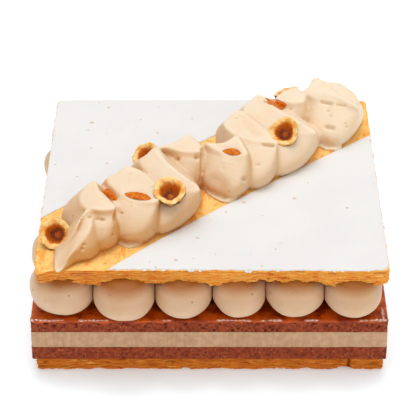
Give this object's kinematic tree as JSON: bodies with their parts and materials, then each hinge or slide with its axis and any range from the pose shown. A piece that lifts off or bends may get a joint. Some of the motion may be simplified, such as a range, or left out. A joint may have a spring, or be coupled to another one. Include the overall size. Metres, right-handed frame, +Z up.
{
  "type": "praline mille-feuille",
  "caption": "Square layered puff pastry cake with praline, piped cream balls, an iced pastry lid and a diagonal ruffle of cream with hazelnuts.",
  "frame": {"origin": "centre of the square block of layers, on the surface that the cake rests on", "axes": "+Z up; +X to the right and -Y towards the viewer of the front side, where the thin end of the ruffle is at the front left corner"},
  "size_m": [0.181, 0.1888, 0.0864],
  "materials": {
    "golden_pastry": "matte",
    "praline": "matte",
    "beige_cream": "matte",
    "caramel_glaze": "gloss",
    "ball_cream": "satin",
    "ruffle_cream": "satin",
    "white_icing": "matte",
    "roasted_nut": "satin",
    "soft_praline": "gloss"
  },
  "bodies": {
    "root": {"pastry_base": "golden_pastry", "praline_lower": "praline", "middle_cream": "beige_cream", "praline_upper": "praline", "caramel_glaze": "caramel_glaze", "cream_ball_1_1": "ball_cream", "cream_ball_1_2": "ball_cream", "cream_ball_1_3": "ball_cream", "cream_ball_1_4": "ball_cream", "cream_ball_1_5": "ball_cream", "cream_ball_1_6": "ball_cream", "cream_ball_2_1": "ball_cream", "cream_ball_2_2": "ball_cream", "cream_ball_2_3": "ball_cream", "cream_ball_2_4": "ball_cream", "cream_ball_2_5": "ball_cream", "cream_ball_2_6": "ball_cream", "cream_ball_3_1": "ball_cream", "cream_ball_3_2": "ball_cream", "cream_ball_3_3": "ball_cream", "cream_ball_3_4": "ball_cream", "cream_ball_3_5": "ball_cream", "cream_ball_3_6": "ball_cream", "cream_ball_4_1": "ball_cream", "cream_ball_4_2": "ball_cream", "cream_ball_4_3": "ball_cream", "cream_ball_4_4": "ball_cream", "cream_ball_4_5": "ball_cream", "cream_ball_4_6": "ball_cream", "cream_ball_5_1": "ball_cream", "cream_ball_5_2": "ball_cream", "cream_ball_5_3": "ball_cream", "cream_ball_5_4": "ball_cream", "cream_ball_5_5": "ball_cream", "cream_ball_5_6": "ball_cream", "cream_ball_6_1": "ball_cream", "cream_ball_6_2": "ball_cream", "cream_ball_6_3": "ball_cream", "cream_ball_6_4": "ball_cream", "cream_ball_6_5": "ball_cream", "cream_ball_6_6": "ball_cream", "pastry_lid": "golden_pastry", "icing_front": "white_icing", "icing_back": "white_icing", "piped_ruffle": "ruffle_cream", "hazelnut_1": "roasted_nut", "hazelnut_2": "roasted_nut", "hazelnut_3": "roasted_nut", "hazelnut_4": "roasted_nut", "hazelnut_5": "roasted_nut", "praline_pool_1": "soft_praline", "praline_pool_2": "soft_praline", "praline_pool_3": "soft_praline", "praline_pool_4": "soft_praline"}
  },
  "joints": []
}
